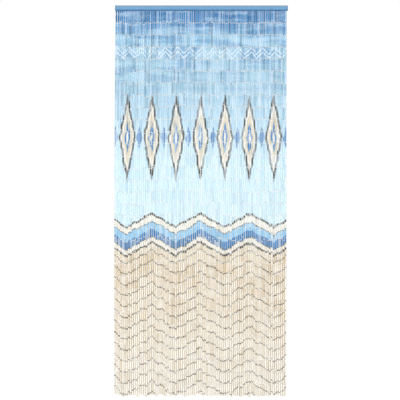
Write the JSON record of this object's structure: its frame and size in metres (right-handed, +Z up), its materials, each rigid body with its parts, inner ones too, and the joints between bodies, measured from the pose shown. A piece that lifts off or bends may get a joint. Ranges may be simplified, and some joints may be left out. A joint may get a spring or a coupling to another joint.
{
  "type": "bamboo strand door curtain on a wooden header lath",
  "caption": "Strand curtain for a doorway: rows of short painted bamboo tubes linked by wire eyes hang side by side from a flat wooden header.",
  "frame": {"origin": "the middle of the header's flat back face, which lies against the wall above the doorway", "axes": "+Z up, +Y out of the header's back towards the wall, +X to the right as seen from the room; the front faces -Y"},
  "size_m": [0.9049, 0.015, 2.0413],
  "materials": {
    "header_paint": "brushed blue paint, satin",
    "painted_bamboo": "hand-painted bamboo, satin",
    "link_wire": "plain drawn wire"
  },
  "bodies": {
    "root": {"header_rail": "header_paint", "bamboo_strands": "painted_bamboo"}
  },
  "joints": []
}
